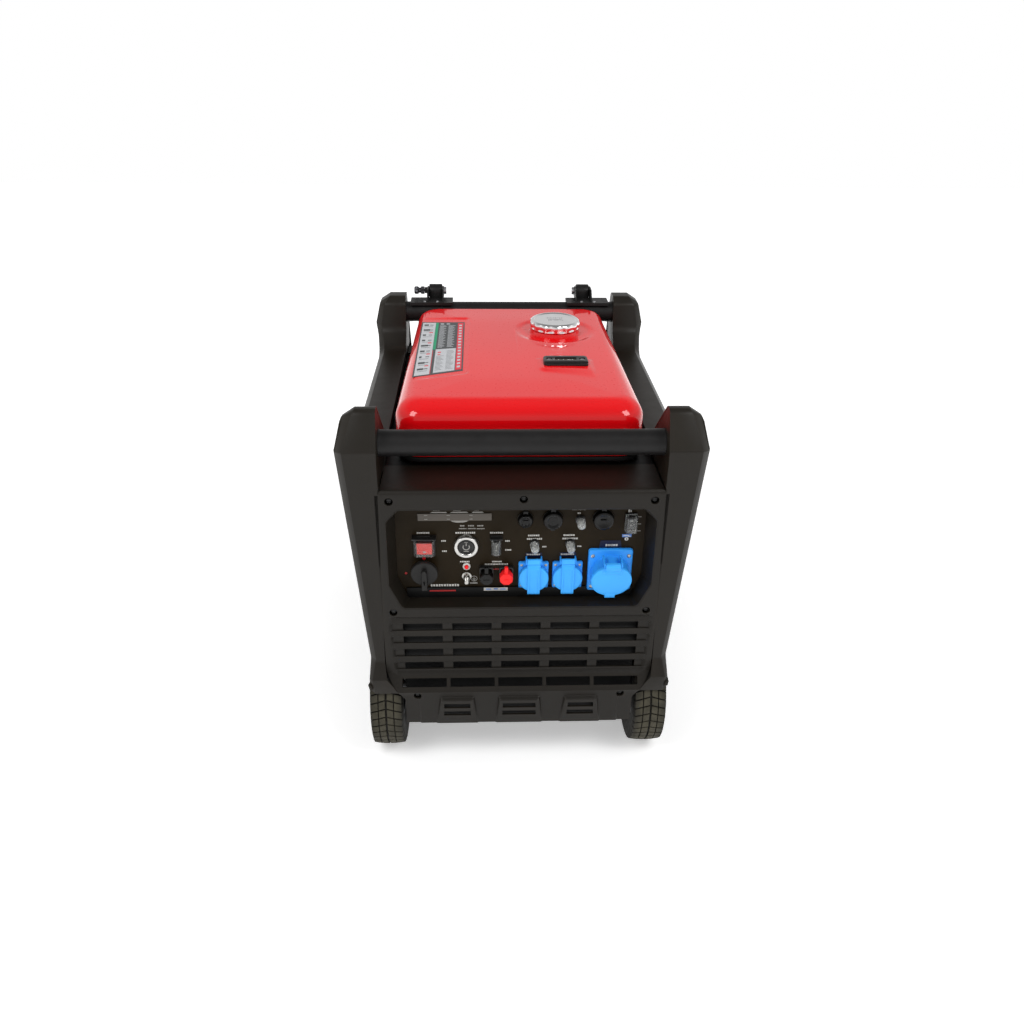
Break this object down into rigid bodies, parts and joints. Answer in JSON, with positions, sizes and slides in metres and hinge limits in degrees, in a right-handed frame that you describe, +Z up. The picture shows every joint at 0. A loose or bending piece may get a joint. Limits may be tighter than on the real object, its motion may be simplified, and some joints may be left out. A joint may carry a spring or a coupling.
{
  "type": "inverter generator",
  "caption": "Wheeled closed-frame inverter generator: cage side posts, crossbars, red fuel tank on top, recessed socket and switch panel, and a fold-down pull handle at the back.",
  "frame": {"origin": "on the floor, under the middle of the object's box", "axes": "+Z up, the control panel faces -Y, +X is on the right of someone facing the panel"},
  "size_m": [0.568, 0.75, 0.679],
  "materials": {
    "shell_plastic": "fine-textured charcoal moulding",
    "fascia_plastic": "fine-textured charcoal moulding",
    "panel_plate": "satin dark brown plate with printed marks",
    "tube_paint": "black powder coat",
    "tray_paint": "black powder coat",
    "zinc": "bright zinc plate",
    "tank_red": "gloss red lacquer",
    "chrome": "polished chrome",
    "black_plastic": "satin black moulding",
    "switch_red": "gloss translucent red",
    "button_red": "gloss red",
    "socket_blue": "semi-gloss blue moulding",
    "seal_rubber": "black rubber",
    "tyre_rubber": "dusty black tread rubber",
    "rim_plastic": "black nylon",
    "brass": "nickel-plated brass",
    "cast_alloy": "rough cast",
    "forged_steel": "machined steel",
    "muffler_steel": "heat-stained sheet",
    "winding_copper": "varnished winding and laminations",
    "display_tint": "tinted window"
  },
  "bodies": {
    "root": {"base_tray": "tray_paint", "left_side_frame": "shell_plastic", "right_side_frame": "shell_plastic", "front_fascia": "fascia_plastic", "rear_fascia": "fascia_plastic", "front_crossbar": "tube_paint", "rear_crossbar": "tube_paint", "control_panel": "panel_plate", "fascia_screws": "zinc", "rear_feet": "seal_rubber", "engine_mounts": "seal_rubber", "wheel_axles": "zinc", "handle_brackets": "zinc", "handle_pivot_bolts": "zinc", "fuel_tank": "tank_red", "gauge_housing": "black_plastic", "display_window": "display_tint", "switch_bezels": "black_plastic", "start_bezel": "chrome", "ground_terminal": "brass", "parallel_sockets": "black_plastic", "breaker_bodies": "black_plastic", "outlet_bodies": "black_plastic", "ac_sockets": "socket_blue", "cee_socket": "socket_blue", "fuel_valve": "cast_alloy", "engine_block": "cast_alloy", "cylinder_head": "cast_alloy", "muffler": "muffler_steel", "air_cleaner": "black_plastic", "carburetor": "cast_alloy", "alternator_stator": "winding_copper", "inverter_module": "cast_alloy", "battery": "black_plastic", "starter_motor": "tube_paint"},
    "left_wheel": {"left_tyre": "tyre_rubber", "left_hub": "rim_plastic"},
    "right_wheel": {"right_tyre": "tyre_rubber", "right_hub": "rim_plastic"},
    "pull_handle": {"handle_frame": "tube_paint", "handle_grip": "seal_rubber"},
    "lock_pin": {"lock_plunger": "chrome"},
    "cap_plug": {"fuel_cap_core": "seal_rubber"},
    "fuel_cap": {"fuel_cap_shell": "chrome"},
    "main_switch": {"main_rocker": "switch_red"},
    "idle_switch": {"idle_rocker": "black_plastic"},
    "mode_switch": {"mode_rocker": "black_plastic"},
    "start_push": {"start_button": "black_plastic"},
    "reset_push": {"reset_button": "button_red"},
    "left_breaker": {"left_breaker_button": "black_plastic"},
    "right_breaker": {"right_breaker_button": "black_plastic"},
    "dc_breaker": {"dc_breaker_button": "black_plastic"},
    "fuel_selector": {"fuel_knob": "black_plastic"},
    "usb_flap": {"usb_cap": "seal_rubber"},
    "remote_flap": {"remote_cap": "seal_rubber"},
    "charge_flap": {"charge_cap": "seal_rubber"},
    "left_ac_lid": {"ac_lid_left": "socket_blue"},
    "right_ac_lid": {"ac_lid_right": "socket_blue"},
    "power_lid": {"cee_lid": "socket_blue"},
    "crank_train": {"crank_rotor": "forged_steel"}
  },
  "joints": [
    {"name": "left_wheel_spin", "type": "hinge", "parent": "root", "child": "left_wheel", "pos_m": [-0.23, -0.27, 0.105], "axis": [1, 0, 0], "continuous": true},
    {"name": "right_wheel_spin", "type": "hinge", "parent": "root", "child": "right_wheel", "pos_m": [0.23, -0.27, 0.105], "axis": [1, 0, 0], "continuous": true},
    {"name": "handle_fold", "type": "hinge", "parent": "root", "child": "pull_handle", "pos_m": [0, 0.359, 0.665], "axis": [1, 0, 0], "range_deg": [0, 90]},
    {"name": "lock_pull", "type": "slide", "parent": "root", "child": "lock_pin", "axis": [-1, 0, 0], "range_m": [0, 0.008], "stiffness_N_per_m": 300, "springref_m": -0.006},
    {"name": "cap_lift", "type": "slide", "parent": "root", "child": "cap_plug", "axis": [0, 0, 1], "range_m": [0, 0.08]},
    {"name": "cap_turn", "type": "hinge", "parent": "cap_plug", "child": "fuel_cap", "pos_m": [0.0815, 0.13, 0.665], "axis": [0, 0, 1], "range_deg": [0, 90]},
    {"name": "main_switch_rock", "type": "hinge", "parent": "root", "child": "main_switch", "pos_m": [-0.156, -0.317, 0.431], "axis": [-1, 0, 0], "range_deg": [0, 18]},
    {"name": "idle_switch_rock", "type": "hinge", "parent": "root", "child": "idle_switch", "pos_m": [-0.0396, -0.317, 0.431], "axis": [-1, 0, 0], "range_deg": [0, 18]},
    {"name": "mode_switch_rock", "type": "hinge", "parent": "root", "child": "mode_switch", "pos_m": [0.177, -0.317, 0.476], "axis": [-1, 0, 0], "range_deg": [0, 18]},
    {"name": "start_press", "type": "slide", "parent": "root", "child": "start_push", "axis": [0, 1, 0], "range_m": [0, 0.0025], "stiffness_N_per_m": 500, "springref_m": -0.0025},
    {"name": "reset_press", "type": "slide", "parent": "root", "child": "reset_push", "axis": [0, 1, 0], "range_m": [0, 0.002], "stiffness_N_per_m": 300, "springref_m": -0.002},
    {"name": "left_breaker_press", "type": "slide", "parent": "root", "child": "left_breaker", "axis": [0, 1, 0], "range_m": [0, 0.003], "stiffness_N_per_m": 300, "springref_m": -0.003},
    {"name": "right_breaker_press", "type": "slide", "parent": "root", "child": "right_breaker", "axis": [0, 1, 0], "range_m": [0, 0.003], "stiffness_N_per_m": 300, "springref_m": -0.003},
    {"name": "dc_breaker_press", "type": "slide", "parent": "root", "child": "dc_breaker", "axis": [0, 1, 0], "range_m": [0, 0.003], "stiffness_N_per_m": 300, "springref_m": -0.003},
    {"name": "fuel_knob_turn", "type": "hinge", "parent": "root", "child": "fuel_selector", "pos_m": [-0.157, -0.315, 0.387], "axis": [0, -1, 0], "range_deg": [0, 90]},
    {"name": "usb_flap_hinge", "type": "hinge", "parent": "root", "child": "usb_flap", "pos_m": [0.007, -0.3205, 0.4955], "axis": [-1, 0, 0], "range_deg": [0, 85]},
    {"name": "remote_flap_hinge", "type": "hinge", "parent": "root", "child": "remote_flap", "pos_m": [0.051, -0.3205, 0.499], "axis": [-1, 0, 0], "range_deg": [0, 85]},
    {"name": "charge_flap_hinge", "type": "hinge", "parent": "root", "child": "charge_flap", "pos_m": [0.132, -0.3205, 0.5], "axis": [-1, 0, 0], "range_deg": [0, 85]},
    {"name": "left_ac_lid_hinge", "type": "hinge", "parent": "root", "child": "left_ac_lid", "pos_m": [0.022, -0.3246, 0.403], "axis": [-1, 0, 0], "range_deg": [0, 100], "stiffness_Nm_per_rad": 0.03, "springref_deg": -45.84},
    {"name": "right_ac_lid_hinge", "type": "hinge", "parent": "root", "child": "right_ac_lid", "pos_m": [0.078, -0.3246, 0.403], "axis": [-1, 0, 0], "range_deg": [0, 100], "stiffness_Nm_per_rad": 0.03, "springref_deg": -45.84},
    {"name": "power_lid_hinge", "type": "hinge", "parent": "root", "child": "power_lid", "pos_m": [0.148, -0.35244, 0.41332], "axis": [-1, 0, 0], "range_deg": [0, 100], "stiffness_Nm_per_rad": 0.06, "springref_deg": -45.84},
    {"name": "crank_spin", "type": "hinge", "parent": "root", "child": "crank_train", "pos_m": [0, 0, 0.222], "axis": [0, 1, 0], "continuous": true}
  ]
}
